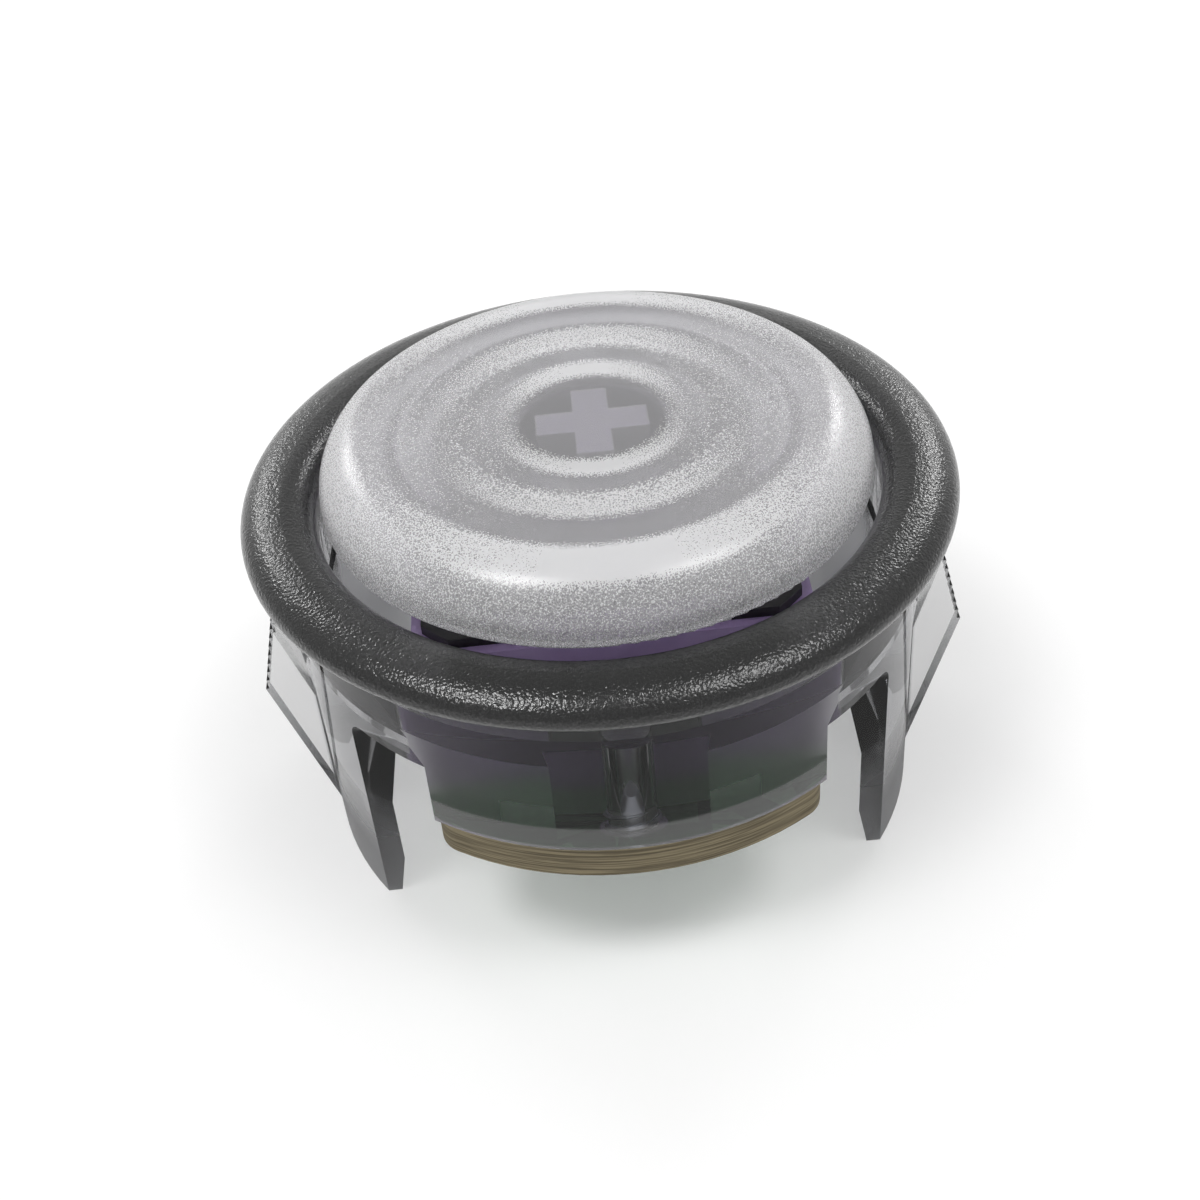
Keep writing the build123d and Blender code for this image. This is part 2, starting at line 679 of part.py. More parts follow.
os.makedirs("parts", exist_ok=True)
for name, solid in NODES.items():
    export_step(solid, f"parts/{name}.step")
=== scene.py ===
"""A clear snap-in push button, dressed for a studio picture.

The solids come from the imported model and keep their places. Each class below is one sub-assembly:
it gives its solids their finishes and adds the surfaces that are too fine for a solid.
Lengths are in millimetres unless a name says otherwise.
"""
import logging
import math
from dataclasses import dataclass
from enum import Enum
from typing import Any

import bmesh
import bpy
import numpy as np
from mathutils import Matrix, Vector
from numpy.typing import NDArray


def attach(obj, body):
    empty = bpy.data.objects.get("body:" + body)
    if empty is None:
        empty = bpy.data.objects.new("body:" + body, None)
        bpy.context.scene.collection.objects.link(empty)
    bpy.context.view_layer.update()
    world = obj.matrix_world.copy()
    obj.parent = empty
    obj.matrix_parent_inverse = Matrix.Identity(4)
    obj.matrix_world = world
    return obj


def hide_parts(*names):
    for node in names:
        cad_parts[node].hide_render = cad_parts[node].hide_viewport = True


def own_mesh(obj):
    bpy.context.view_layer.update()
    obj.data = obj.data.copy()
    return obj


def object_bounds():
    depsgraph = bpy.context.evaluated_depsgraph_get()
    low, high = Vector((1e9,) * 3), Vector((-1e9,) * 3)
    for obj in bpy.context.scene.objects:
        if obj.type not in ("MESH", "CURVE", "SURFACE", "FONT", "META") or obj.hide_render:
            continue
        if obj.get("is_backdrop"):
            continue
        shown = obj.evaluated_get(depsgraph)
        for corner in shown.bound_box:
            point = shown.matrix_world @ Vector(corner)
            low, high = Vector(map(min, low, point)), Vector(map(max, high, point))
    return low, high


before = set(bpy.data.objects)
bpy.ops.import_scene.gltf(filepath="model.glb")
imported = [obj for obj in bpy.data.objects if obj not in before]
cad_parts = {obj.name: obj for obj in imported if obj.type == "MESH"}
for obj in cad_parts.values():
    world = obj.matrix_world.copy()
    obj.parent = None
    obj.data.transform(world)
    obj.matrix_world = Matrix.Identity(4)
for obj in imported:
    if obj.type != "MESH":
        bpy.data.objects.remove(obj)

MM = 0.001
TURN = 2 * math.pi
MERGE_REACH_M = 1e-8
SHARP_ANGLE = math.radians(40)
WAVE_RADIANS = 20  # A wave texture of scale one turns through this many radians in a metre.
LOG = logging.getLogger("push_button")
Grid = NDArray[np.float64]


def linear_colour(hex_code: str) -> tuple[float, float, float, float]:
    """Turn an sRGB hex colour into linear light.

    Args:
        hex_code: six hex digits after a hash.

    Returns:
        Red, green, blue and an alpha of one.
    """
    parts = [int(hex_code[at:at + 2], 16) / 255 for at in (1, 3, 5)]
    red, green, blue = [
        part / 12.92 if part <= 0.04045 else ((part + 0.055) / 1.055) ** 2.4 for part in parts
    ]
    return red, green, blue, 1.0


def add_node(
    tree: bpy.types.NodeTree, kind: str, sockets: dict[str | int, Any] | None = None, **settings: Any
) -> bpy.types.Node:
    """Add one shader node, with its settings, values and links.

    Args:
        tree: the node tree it goes into.
        kind: Blender's name for the kind of node.
        sockets: input name or number to a plain value, or to another node's output that feeds it.
        settings: the node's own properties.

    Returns:
        The new node.
    """
    node = tree.nodes.new(kind)
    for name, value in settings.items():
        setattr(node, name, value)
    for name, value in (sockets or {}).items():
        if isinstance(value, bpy.types.NodeSocket):
            tree.links.new(value, node.inputs[name])
        else:
            node.inputs[name].default_value = value
    return node


def blank_material(name: str) -> tuple[bpy.types.Material, bpy.types.NodeTree, bpy.types.Node]:
    """Make an empty node material.

    Args:
        name: the material's name.

    Returns:
        The material, its node tree and its output node.
    """
    material = bpy.data.materials.new(name)
    material.use_nodes = True
    material.node_tree.nodes.clear()
    return material, material.node_tree, add_node(material.node_tree, "ShaderNodeOutputMaterial")


def dress(node: str, material: bpy.types.Material) -> None:
    """Give a solid of the frame a finish in place of its plain one.

    Args:
        node: the solid's name.
        material: its finish.
    """
    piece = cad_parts[node]
    piece.data.materials.clear()
    piece.data.materials.append(material)
    LOG.info("dressed %s in %s", node, material.name)


def grid_faces(rows: int, columns: int, rows_close: bool, first: int) -> NDArray[np.int64]:
    """List the four-sided faces between neighbouring points of a grid whose last column joins its first.

    Face (i, j) joins point (i, j) to its neighbours at i + 1 and j + 1, counted round where a side closes.

    Args:
        rows: points along the first parameter.
        columns: points along the second parameter.
        rows_close: whether the last row joins the first.
        first: the number of the grid's first point in the mesh.

    Returns:
        One row of four point numbers for each face.
    """
    i, j = np.meshgrid(np.arange(rows if rows_close else rows - 1), np.arange(columns), indexing="ij")
    after_i, after_j = (i + 1) % rows, (j + 1) % columns
    corners = [i * columns + j, after_i * columns + j, after_i * columns + after_j, i * columns + after_j]
    return first + np.stack([corner.ravel() for corner in corners], axis=1)


def make_piece(
    name: str, grids: list[Grid], material: bpy.types.Material, rows_close: bool = False
) -> bpy.types.Object:
    """Put grids of points into one mesh that rides on the shell.

    Every grid closes round its columns. Points that meet, as at a pole, are merged, and faces are
    turned outwards.

    Args:
        name: the piece's name.
        grids: arrays of rows, columns and x, y, z in millimetres.
        material: the piece's finish.
        rows_close: whether the last row joins the first.

    Returns:
        The new object.
    """
    starts = np.cumsum([0] + [grid.shape[0] * grid.shape[1] for grid in grids])
    points = np.concatenate([grid.reshape(-1, 3) for grid in grids]) * MM
    faces = np.concatenate([
        grid_faces(grid.shape[0], grid.shape[1], rows_close, int(start))
        for grid, start in zip(grids, starts)
    ])
    mesh = bpy.data.meshes.new(name)
    mesh.from_pydata(points.tolist(), [], faces.tolist())
    work = bmesh.new()
    work.from_mesh(mesh)
    bmesh.ops.remove_doubles(work, verts=work.verts, dist=MERGE_REACH_M)
    bmesh.ops.recalc_face_normals(work, faces=work.faces)
    work.to_mesh(mesh)
    work.free()
    mesh.shade_smooth()
    mesh.set_sharp_from_angle(angle=SHARP_ANGLE)
    mesh.materials.append(material)
    piece = bpy.data.objects.new(name, mesh)
    bpy.context.scene.collection.objects.link(piece)
    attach(piece, "shell")
    LOG.info("made %s with %d faces", name, len(mesh.polygons))
    return piece


def tube_round_helix(angle: Grid, radius: Grid, height: Grid, wire: Grid, sides: int) -> Grid:
    """Carry a circle along a helix.

    The centre line is radius x (cos a, sin a) at the given height. The circle lies across it: its point
    at angle b stands wire x cos b outwards and wire x sin b along the axis.

    Args:
        angle: turn about the axis at each row, in radians.
        radius: distance from the axis at each row.
        height: height at each row.
        wire: the circle's radius at each row.
        sides: points round the circle.

    Returns:
        The grid of points, rows along the helix.
    """
    around = np.linspace(0, TURN, sides, endpoint=False)
    out = radius[:, None] + wire[:, None] * np.cos(around)
    up = height[:, None] + wire[:, None] * np.sin(around)
    return np.stack([out * np.cos(angle)[:, None], out * np.sin(angle)[:, None], up], axis=2)


def turned_ring(outline: list[tuple[float, float]], centre: tuple[float, float], sides: int) -> Grid:
    """Turn an outline about an upright axis.

    The point at row k and angle a is the centre plus the outline's radius k times (cos a, sin a),
    at its height k.

    Args:
        outline: pairs of radius and height.
        centre: x and y of the axis.
        sides: points round the axis.

    Returns:
        The grid of points, rows along the outline.
    """
    radius, height = np.array(outline).T
    around = np.linspace(0, TURN, sides, endpoint=False)
    x = centre[0] + radius[:, None] * np.cos(around)
    y = centre[1] + radius[:, None] * np.sin(around)
    return np.stack([x, y, np.broadcast_to(height[:, None], x.shape)], axis=2)


def strip_along(route: list[tuple[float, float]], width: float, low: float, high: float) -> Grid:
    """Carry a flat rectangle along a route, with a closed end at each end of it.

    At each point the section's corners stand half the width to the left and right of the route, at the
    two heights. The sideways direction is across the mean of the runs before and after the point, and it
    is lengthened at a corner so that the strip keeps its width.

    Args:
        route: x and y of the points.
        width: the strip's width.
        low: height of its lower face.
        high: height of its upper face.

    Returns:
        The grid of points, rows along the route.
    """
    line = np.array(route)
    runs = np.diff(line, axis=0)
    runs /= np.linalg.norm(runs, axis=1)[:, None]
    before, after = np.vstack([runs[:1], runs]), np.vstack([runs, runs[-1:]])
    along = before + after
    along /= np.linalg.norm(along, axis=1)[:, None]
    reach = width / 2 / np.sum(along * after, axis=1)
    across = np.stack([-along[:, 1], along[:, 0]], axis=1) * reach[:, None]
    left, right = line + across, line - across
    corners = [(left, low), (right, low), (right, high), (left, high)]
    grid = np.stack([np.column_stack([side, np.full(len(line), z)]) for side, z in corners], axis=1)
    ends = [np.broadcast_to(grid[at].mean(axis=0), (1, 4, 3)) for at in (0, -1)]
    return np.concatenate([ends[0], grid, ends[1]])


@dataclass(frozen=True)
class Skin:
    """Surface of one area of a moulding: tints between and on its pebbles, which on some areas are painted
    light or shade, and how it takes light.
    """

    tints: tuple[str, str]
    roughness: float
    pebble_height: float
    see_through: float = 1.0


@dataclass(frozen=True)
class ClearPlastic:
    """Moulded clear plastic whose skin differs inside, on the rim, the wings, the feet and the tabs' lower
    ends, with painted shade on the rim and feet and painted light on the wings and the tabs' lower ends.
    """

    name: str
    body: Skin
    inside: Skin
    rim: Skin
    wings: Skin
    feet: Skin
    painted_band: Skin
    pebble: float
    depth_colour: str
    depth_per_mm: float
    lamp_tint: str
    gloss_tint: str
    rim_coat: float
    coat_roughness: float
    inside_r: tuple[float, float] = (10.3, 10.0)
    rim_z: tuple[float, float] = (-0.5, 0.0)
    wings_r: tuple[float, float] = (11.92, 12.0)
    feet_z: tuple[float, float] = (-8.5, -11.5)
    painted_band_z: tuple[float, float] = (-5.75, -5.9)
    painted_band_y: tuple[float, float] = (9.0, 9.1)
    peak_noise: tuple[float, float] = (0.35, 0.65)
    ior: float = 1.585

    def build(self) -> bpy.types.Material:
        """Make the material: bent light, a skin for each area and a tint that deepens with thickness.

        Each area's mask rises from nothing to one over its band of radius, height or reach along y.

        Returns:
            The material.
        """
        material, tree, output = blank_material(self.name)
        place = add_node(tree, "ShaderNodeTexCoord").outputs["Object"]
        apart = add_node(tree, "ShaderNodeSeparateXYZ", {"Vector": place})
        height = apart.outputs["Z"]
        reach = add_node(tree, "ShaderNodeMath", {0: apart.outputs["Y"]}, operation="ABSOLUTE").outputs[0]
        flat = add_node(tree, "ShaderNodeVectorMath", {0: place, 1: (1.0, 1.0, 0.0)}, operation="MULTIPLY")
        radius = add_node(
            tree, "ShaderNodeVectorMath", {0: flat.outputs["Vector"]}, operation="LENGTH").outputs["Value"]
        inside, feet, rim, outer, ends, tabs = [
            add_node(tree, "ShaderNodeMapRange", {
                "Value": where, "From Min": band[0] * MM, "From Max": band[1] * MM}).outputs["Result"]
            for where, band in (
                (radius, self.inside_r), (height, self.feet_z), (height, self.rim_z),
                (radius, self.wings_r), (height, self.painted_band_z), (reach, self.painted_band_y),
            )
        ]
        # The wings' skin is painted paler than the body's: painted light for the thin plates.
        wings = add_node(tree, "ShaderNodeMath", {0: outer, 1: rim}, operation="SUBTRACT", use_clamp=True)
        # The pale skin on the tabs' lower ends is a painted reflection.
        painted_band = add_node(tree, "ShaderNodeMath", {0: ends, 1: tabs}, operation="MULTIPLY")
        areas = (
            (inside, self.inside), (feet, self.feet), (rim, self.rim),
            (wings.outputs[0], self.wings), (painted_band.outputs[0], self.painted_band),
        )
        pebbles = add_node(tree, "ShaderNodeTexNoise", {
            "Vector": place, "Scale": 1 / (self.pebble * MM), "Detail": 1.0}).outputs["Fac"]
        # The lighter tint on the pebbles' peaks, which only the rim's tints use, is painted sparkle.
        peaks = add_node(tree, "ShaderNodeMapRange", {
            "Value": pebbles, "From Min": self.peak_noise[0],
            "From Max": self.peak_noise[1]}).outputs["Result"]
        low, high = [linear_colour(tint) for tint in self.body.tints]
        values = [self.body.roughness, self.body.pebble_height * MM, self.body.see_through]
        for mask, skin in areas:
            low, high = [
                add_node(tree, "ShaderNodeMix", {
                    0: mask, 6: inner, 7: linear_colour(tint)}, data_type="RGBA").outputs[2]
                for inner, tint in zip((low, high), skin.tints)
            ]
            values = [
                add_node(tree, "ShaderNodeMix", {0: mask, 2: inner, 3: value}).outputs[0]
                for inner, value in zip(values, (skin.roughness, skin.pebble_height * MM, skin.see_through))
            ]
        roughness, rise, see_through = values
        tint = add_node(tree, "ShaderNodeMix", {0: peaks, 6: low, 7: high}, data_type="RGBA")
        relief = add_node(tree, "ShaderNodeBump", {"Height": pebbles, "Distance": rise})
        coat = add_node(tree, "ShaderNodeMath", {0: rim, 1: self.rim_coat}, operation="MULTIPLY")
        plastic = add_node(tree, "ShaderNodeBsdfPrincipled", {
            "Base Color": tint.outputs[2],
            "Roughness": roughness,
            "IOR": self.ior,
            "Specular Tint": linear_colour(self.gloss_tint),
            "Transmission Weight": see_through,
            "Normal": relief.outputs["Normal"],
            "Coat Weight": coat.outputs[0],
            "Coat Roughness": self.coat_roughness,
            "Coat Normal": relief.outputs["Normal"],
        })
        passing = add_node(tree, "ShaderNodeBsdfTransparent", {"Color": linear_colour(self.lamp_tint)})
        rays = add_node(tree, "ShaderNodeLightPath")
        surface = add_node(tree, "ShaderNodeMixShader", {
            0: rays.outputs["Is Shadow Ray"], 1: plastic.outputs["BSDF"], 2: passing.outputs["BSDF"]})
        depth = add_node(tree, "ShaderNodeVolumeAbsorption", {
            "Color": linear_colour(self.depth_colour), "Density": self.depth_per_mm / MM})
        tree.links.new(surface.outputs["Shader"], output.inputs["Surface"])
        tree.links.new(depth.outputs["Volume"], output.inputs["Volume"])
        return material


@dataclass(frozen=True)
class PaintedRing:
    """A ring of painted reflection round the axis, drawn as pale grains: its radii, and its share of pale
    grains by the tabs and by the arms.

    A grain whitens as its chance falls under the share, fully where it is under it by the fade. So a share of
    one plus the fade leaves no grain clear, and a long fade gives a smooth haze in place of grains.
    """

    inner: float
    outer: float
    tab_share: float
    arm_share: float
    grain_fade: float = 0.12


@dataclass(frozen=True)
class RibbedLens:
    """Moulded clear plastic, hazy all over, with rings of painted reflection drawn as pale grains whose edges
    break up.
    """

    name: str
    clear_tint: str
    painted_ring_tint: str
    clear_weight: float
    painted_ring_weight: float
    rings: tuple[PaintedRing, ...]
    skin_z: float
    skin_r: float
    ring_edge: float
    grain: float
    grain_height: float
    roughness: tuple[float, float]
    depth_colour: str
    depth_per_mm: float
    chance_noise: tuple[float, float] = (0.3, 0.7)
    ior: float = 1.585

    def build(self) -> bpy.types.Material:
        """Make the material: a grain is painted pale, as painted reflection, where its chance is under the
        share that its place has.

        A ring's share turns from the one by the tabs to the one by the arms as the squared sine of the angle
        about the axis, which is y over the radius, squared.

        Returns:
            The material.
        """
        material, tree, output = blank_material(self.name)
        place = add_node(tree, "ShaderNodeTexCoord").outputs["Object"]
        flat = add_node(tree, "ShaderNodeVectorMath", {0: place, 1: (1.0, 1.0, 0.0)}, operation="MULTIPLY")
        radius = add_node(
            tree, "ShaderNodeVectorMath", {0: flat.outputs["Vector"]}, operation="LENGTH").outputs["Value"]
        apart = add_node(tree, "ShaderNodeSeparateXYZ", {"Vector": place})
        sine = add_node(
            tree, "ShaderNodeMath", {0: apart.outputs["Y"], 1: radius}, operation="DIVIDE").outputs[0]
        by_tabs = add_node(tree, "ShaderNodeMath", {0: sine, 1: sine}, operation="MULTIPLY").outputs[0]
        grains = add_node(tree, "ShaderNodeTexNoise", {
            "Vector": place, "Scale": 1 / (self.grain * MM), "Detail": 0.0}).outputs["Fac"]
        chance = add_node(tree, "ShaderNodeMapRange", {
            "Value": grains, "From Min": self.chance_noise[0],
            "From Max": self.chance_noise[1]}).outputs["Result"]
        painted_rings = 0.0
        for ring in self.rings:
            rise, fall = [
                add_node(tree, "ShaderNodeMapRange", {
                    "Value": radius,
                    "From Min": (at - self.ring_edge / 2) * MM, "From Max": (at + self.ring_edge / 2) * MM,
                    "To Min": low, "To Max": high}).outputs["Result"]
                for at, low, high in ((ring.inner, 0.0, 1.0), (ring.outer, 1.0, 0.0))
            ]
            level = add_node(tree, "ShaderNodeMapRange", {
                "Value": by_tabs, "To Min": ring.arm_share, "To Max": ring.tab_share}).outputs["Result"]
            band = add_node(tree, "ShaderNodeMath", {0: rise, 1: fall}, operation="MULTIPLY").outputs[0]
            share = add_node(tree, "ShaderNodeMath", {0: band, 1: level}, operation="MULTIPLY").outputs[0]
            lead = add_node(tree, "ShaderNodeMath", {0: share, 1: chance}, operation="SUBTRACT").outputs[0]
            white = add_node(tree, "ShaderNodeMapRange", {
                "Value": lead, "From Max": ring.grain_fade}).outputs["Result"]
            painted_rings = add_node(tree, "ShaderNodeMath", {0: painted_rings, 1: white}, operation="MAXIMUM").outputs[0]
        # The pale rings gathered here are painted reflection, not frost in the plastic.
        above, outside = [
            add_node(tree, "ShaderNodeMath", {0: value, 1: at * MM}, operation="GREATER_THAN").outputs[0]
            for value, at in ((apart.outputs["Z"], self.skin_z), (radius, self.skin_r))
        ]
        zone = add_node(tree, "ShaderNodeMath", {0: above, 1: outside}, operation="MAXIMUM").outputs[0]
        painted_rings = add_node(tree, "ShaderNodeMath", {0: painted_rings, 1: zone}, operation="MULTIPLY").outputs[0]
        tint = add_node(tree, "ShaderNodeMix", {
            0: painted_rings, 6: linear_colour(self.clear_tint), 7: linear_colour(self.painted_ring_tint)}, data_type="RGBA")
        weight = add_node(tree, "ShaderNodeMapRange", {
            "Value": painted_rings, "To Min": self.clear_weight, "To Max": self.painted_ring_weight})
        gloss = add_node(tree, "ShaderNodeMapRange", {
            "Value": painted_rings, "To Min": self.roughness[0], "To Max": self.roughness[1]})
        relief = add_node(tree, "ShaderNodeBump", {"Height": grains, "Distance": self.grain_height * MM})
        plastic = add_node(tree, "ShaderNodeBsdfPrincipled", {
            "Base Color": tint.outputs[2],
            "Roughness": gloss.outputs["Result"],
            "IOR": self.ior,
            "Transmission Weight": weight.outputs["Result"],
            "Normal": relief.outputs["Normal"],
        })
        depth = add_node(tree, "ShaderNodeVolumeAbsorption", {
            "Color": linear_colour(self.depth_colour), "Density": self.depth_per_mm / MM})
        tree.links.new(plastic.outputs["BSDF"], output.inputs["Surface"])
        tree.links.new(depth.outputs["Volume"], output.inputs["Volume"])
        return material


@dataclass(frozen=True)
class MouldedPlastic:
    """Moulded coloured plastic: faint flow clouds in the colour and fine mould grain."""

    name: str
    colours: tuple[str, str]
    roughness: float
    cloud: float
    grain: float
    grain_height: float
    see_through: float = 0.0

    def build(self) -> bpy.types.Material:
        """Make the material.

        Returns:
            The material.
        """
        material, tree, output = blank_material(self.name)
        place = add_node(tree, "ShaderNodeTexCoord").outputs["Object"]
        clouds = add_node(tree, "ShaderNodeTexNoise", {"Vector": place, "Scale": 1 / (self.cloud * MM)})
        colour = add_node(tree, "ShaderNodeMix", {
            0: clouds.outputs["Fac"], 6: linear_colour(self.colours[0]), 7: linear_colour(self.colours[1]),
        }, data_type="RGBA")
        grain = add_node(tree, "ShaderNodeTexNoise", {"Vector": place, "Scale": 1 / (self.grain * MM)})
        relief = add_node(tree, "ShaderNodeBump", {
            "Height": grain.outputs["Fac"], "Distance": self.grain_height * MM})
        surface = add_node(tree, "ShaderNodeBsdfPrincipled", {
            "Base Color": colour.outputs[2],
            "Roughness": self.roughness,
            "Transmission Weight": self.see_through,
            "Normal": relief.outputs["Normal"],
        })
        tree.links.new(surface.outputs["BSDF"], output.inputs["Surface"])
        return material


@dataclass(frozen=True)
class MaskedLaminate:
    """Glass-cloth laminate: tan plies along the cut edge, green solder mask over the weave on both faces."""

    name: str
    mask_colours: tuple[str, str]
    edge_colours: tuple[str, str]
    weave: float
    weave_height: float
    ply: float
    roughness: float
    edge_roughness: float = 0.75
    ply_run: tuple[float, float, float] = (0.02, 0.02, 1.0)
    ply_noise: tuple[float, float] = (0.4, 0.6)
    face_limit: float = 0.5

    def build(self) -> bpy.types.Material:
        """Make the material: the face or the edge is told by the way that the surface looks.

        Returns:
            The material.
        """
        material, tree, output = blank_material(self.name)
        place = add_node(tree, "ShaderNodeTexCoord")
        facing = add_node(tree, "ShaderNodeSeparateXYZ", {"Vector": place.outputs["Normal"]})
        upright = add_node(tree, "ShaderNodeMath", {0: facing.outputs["Z"]}, operation="ABSOLUTE")
        face = add_node(tree, "ShaderNodeMath", {
            0: upright.outputs[0], 1: self.face_limit}, operation="GREATER_THAN")
        threads = [
            add_node(tree, "ShaderNodeTexWave", {
                "Vector": place.outputs["Object"], "Scale": TURN / WAVE_RADIANS / (self.weave * MM),
            }, bands_direction=across).outputs["Fac"]
            for across in ("X", "Y")
        ]
        weave = add_node(tree, "ShaderNodeMath", {0: threads[0], 1: threads[1]}, operation="MULTIPLY")
        layers = add_node(tree, "ShaderNodeMapping", {
            "Vector": place.outputs["Object"], "Scale": self.ply_run})
        plies = add_node(tree, "ShaderNodeTexNoise", {
            "Vector": layers.outputs["Vector"], "Scale": 1 / (self.ply * MM), "Detail": 3.0})
        sharp = add_node(tree, "ShaderNodeMapRange", {
            "Value": plies.outputs["Fac"], "From Min": self.ply_noise[0], "From Max": self.ply_noise[1]})
        mask, edge = [
            add_node(tree, "ShaderNodeMix", {
                0: pattern, 6: linear_colour(pair[0]), 7: linear_colour(pair[1]),
            }, data_type="RGBA").outputs[2]
            for pattern, pair in (
                (weave.outputs[0], self.mask_colours), (sharp.outputs["Result"], self.edge_colours))
        ]
        colour = add_node(tree, "ShaderNodeMix", {0: face.outputs[0], 6: edge, 7: mask}, data_type="RGBA")
        pattern = add_node(tree, "ShaderNodeMix", {
            0: face.outputs[0], 2: sharp.outputs["Result"], 3: weave.outputs[0]})
        relief = add_node(tree, "ShaderNodeBump", {
            "Height": pattern.outputs[0], "Distance": self.weave_height * MM})
        gloss = add_node(tree, "ShaderNodeMapRange", {
            "Value": face.outputs[0], "To Min": self.edge_roughness, "To Max": self.roughness})
        surface = add_node(tree, "ShaderNodeBsdfPrincipled", {
            "Base Color": colour.outputs[2],
            "Roughness": gloss.outputs["Result"],
            "Normal": relief.outputs["Normal"],
        })
        tree.links.new(surface.outputs["BSDF"], output.inputs["Surface"])
        return material


class Lay(Enum):
    """Which way the marks of a metal's making run, as the pattern's scale along each axis."""

    ALONG_X = (0.05, 1.0, 1.0)
    ALONG_Z = (1.0, 1.0, 0.05)
    EVEN = (1.0, 1.0, 1.0)


@dataclass(frozen=True)
class WorkedMetal:
    """Metal with the fine marks of drawing, stamping or plating."""

    name: str
    colours: tuple[str, str]
    roughness: tuple[float, float]
    mark: float
    mark_height: float
    lay: Lay

    def build(self) -> bpy.types.Material:
        """Make the material.

        Returns:
            The material.
        """
        material, tree, output = blank_material(self.name)
        place = add_node(tree, "ShaderNodeTexCoord").outputs["Object"]
        drawn = add_node(tree, "ShaderNodeMapping", {"Vector": place, "Scale": self.lay.value})
        marks = add_node(tree, "ShaderNodeTexNoise", {
            "Vector": drawn.outputs["Vector"], "Scale": 1 / (self.mark * MM), "Detail": 2.0}).outputs["Fac"]
        colour = add_node(tree, "ShaderNodeMix", {
            0: marks, 6: linear_colour(self.colours[0]), 7: linear_colour(self.colours[1])}, data_type="RGBA")
        gloss = add_node(tree, "ShaderNodeMapRange", {
            "Value": marks, "To Min": self.roughness[0], "To Max": self.roughness[1]})
        relief = add_node(tree, "ShaderNodeBump", {"Height": marks, "Distance": self.mark_height * MM})
        surface = add_node(tree, "ShaderNodeBsdfPrincipled", {
            "Base Color": colour.outputs[2],
            "Metallic": 1.0,
            "Roughness": gloss.outputs["Result"],
            "Normal": relief.outputs["Normal"],
        })
        tree.links.new(surface.outputs["BSDF"], output.inputs["Surface"])
        return material


# Smoke polycarbonate, moulded: grey glass that darkens with thickness, polished outside and satin inside.
# The rim is spark etched, with a coat whose pebbles sparkle; its dark grey tint is painted shade, and its
# lighter flecks are painted sparkle. The arms are painted darker towards their feet, as shade, and are
# rougher there. The wings are painted paler than the body, as painted light, and the tabs' lower ends carry a
# pale band of painted reflection. The etch is really about 0.03 mm across and is drawn coarser to show.
SMOKE_POLYCARBONATE = ClearPlastic(
    "smoke_polycarbonate_moulded",
    body=Skin(("#E0E0E2", "#E0E0E2"), 0.02, 0.0), inside=Skin(("#E0E0E2", "#E0E0E2"), 0.28, 0.0),
    # The rim's dark grey tints are painted shade, flecked lighter as painted sparkle.
    rim=Skin(("#2C2C2C", "#484848"), 0.28, 0.03), wings=Skin(("#FFFFFF", "#FFFFFF"), 0.05, 0.0),
    # The feet's grey tint is painted shade, and the pale skin on the tabs' lower ends is painted reflection.
    feet=Skin(("#A0A0A2", "#A0A0A2"), 0.4, 0.006), painted_band=Skin(("#F0F0F0", "#F0F0F0"), 0.1, 0.0, 0.88),
    pebble=0.11, depth_colour="#4E4E52", depth_per_mm=0.25, lamp_tint="#F4F4F4", gloss_tint="#AAAAAA",
    rim_coat=0.9, coat_roughness=0.15)

# Clear polycarbonate, moulded in a lightly etched tool: a hazy lens over pale rings. The rings are painted
# reflection: the light that the ribs below throw back, strongest by the tabs, drawn as pale grains in the
# outer skin. The side is painted paler, most by the arms, as painted reflection. The grains are drawn coarser
# than the etch, so that they show.
CLEAR_POLYCARBONATE = RibbedLens(
    "clear_polycarbonate_moulded", "#E6E5E8", "#F2F2F3", clear_weight=0.76, painted_ring_weight=0.4,
    rings=(
        PaintedRing(2.75, 3.7, 1.15, 0.25), PaintedRing(4.75, 6.2, 0.8, 0.2), PaintedRing(7.75, 9.45, 1.15, 0.2),
        PaintedRing(3.7, 8.75, 0.0, 0.2), PaintedRing(8.75, 11.2, 0.8, 1.25, 0.9),
    ),
    skin_z=2.7, skin_r=9.6, ring_edge=0.45, grain=0.055, grain_height=0.001, roughness=(0.26, 0.28),
    depth_colour="#D8D8DC", depth_per_mm=0.1)

# Tinted polycarbonate, moulded: purple that glows a little where light comes through. It is drawn pale, since
# it is seen through the smoke housing.
PURPLE_POLYCARBONATE = MouldedPlastic(
    "purple_polycarbonate_moulded", ("#AE96C8", "#B8A1D1"), 0.22, 3.0, 0.2, 0.002, 0.1)

# Acetal, moulded: waxy lavender, smooth from sliding.
LAVENDER_ACETAL = MouldedPlastic("lavender_acetal_moulded", ("#71608A", "#7A6993"), 0.35, 2.0, 0.2, 0.001)

# Glass-filled nylon, moulded: black with a dull grain where fibres reach the skin.
BLACK_NYLON = MouldedPlastic("black_nylon_moulded", ("#121113", "#1D1C1F"), 0.38, 0.4, 0.15, 0.004)

# Glass-cloth laminate, routed to shape: tan plies on the edge, the weave faint under green mask on the faces.
GREEN_LAMINATE = MaskedLaminate(
    "glass_laminate_masked", ("#55825A", "#629167"), ("#877C61", "#554C38"), 0.5, 0.004, 0.07, 0.35)

# Copper under solder mask: the same green, a shade lighter where the metal shows through.
MASKED_COPPER = MouldedPlastic("copper_trace_masked", ("#5A8C5F", "#629567"), 0.32, 1.0, 0.3, 0.002)

# Spring steel wire, drawn: bright grey with fine marks.
SPRING_STEEL = WorkedMetal("spring_steel_drawn", ("#A9A9A8", "#C4C4C2"), (0.2, 0.34), 0.05, 0.001, Lay.EVEN)

